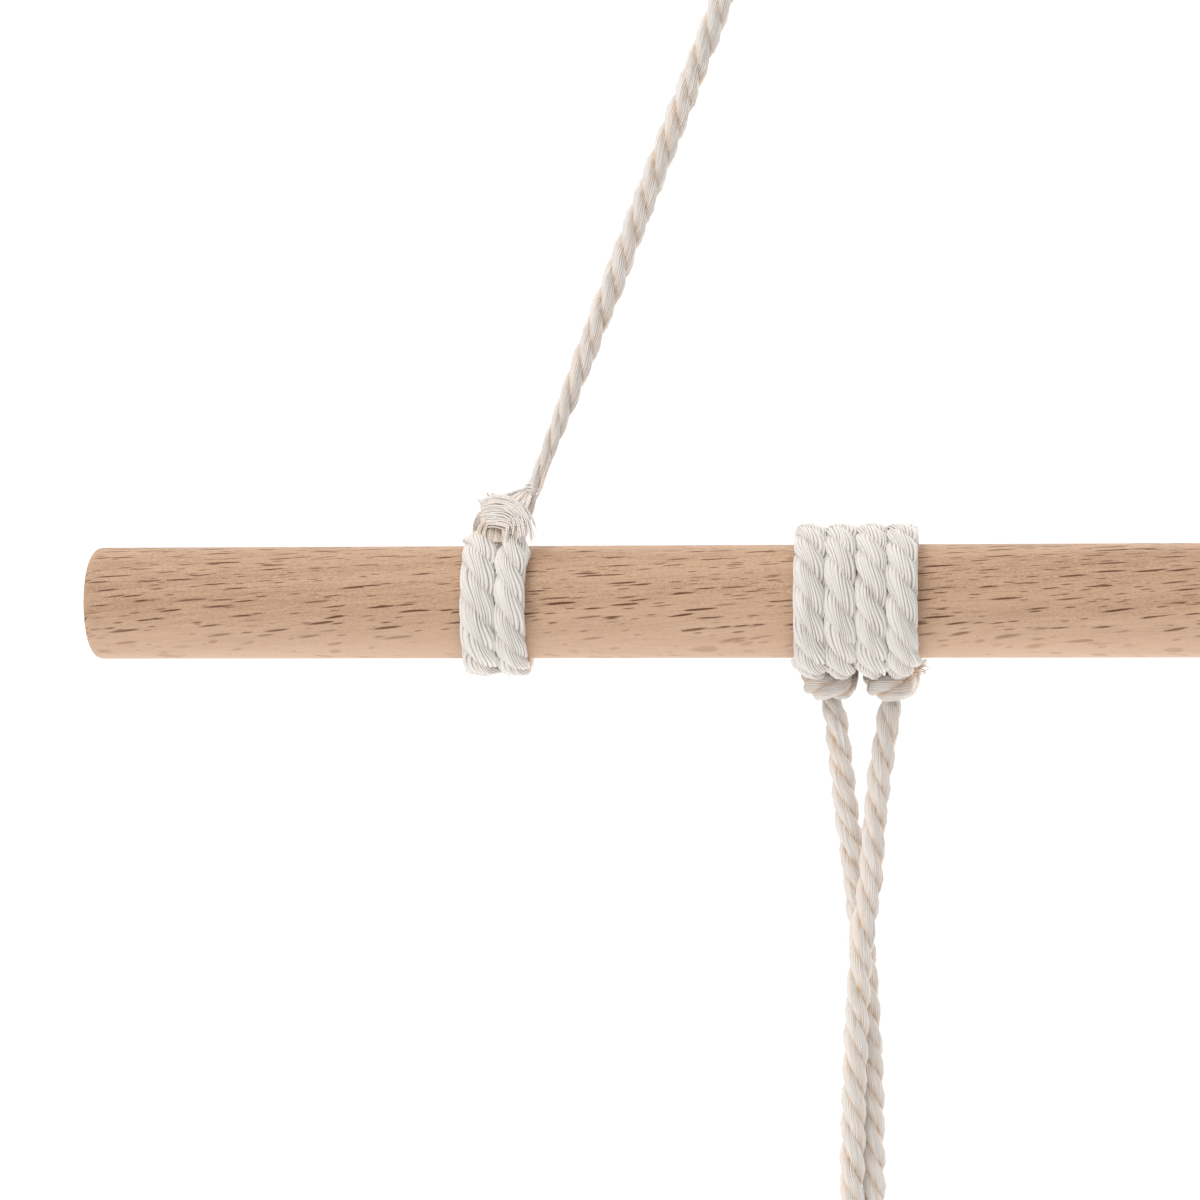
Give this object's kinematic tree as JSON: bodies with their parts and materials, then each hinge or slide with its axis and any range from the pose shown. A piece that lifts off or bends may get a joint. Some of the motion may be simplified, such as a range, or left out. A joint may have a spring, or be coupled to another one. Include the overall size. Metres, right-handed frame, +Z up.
{
  "type": "macrame wall hanging on a wooden dowel",
  "caption": "Round beech dowel that hangs from one twisted cotton cord tied near its ends, with cotton cords mounted on it by cow hitches and hanging free in crossed strands.",
  "frame": {"origin": "where the hanging cord lies on its nail, at the top of the cord's bend", "axes": "+X along the dowel to the right as seen from the front, the front faces -Y, the wall is towards +Y, +Z up"},
  "size_m": [0.3, 0.0219, 0.4413],
  "materials": {
    "beech": "raw sanded beech with dark flecks, matt",
    "cotton": "natural undyed three-ply cotton cord, soft and matt"
  },
  "bodies": {
    "root": {"dowel": "beech", "hanging_cord": "cotton", "mounted_cord_left": "cotton", "mounted_cord_right": "cotton"}
  },
  "joints": []
}
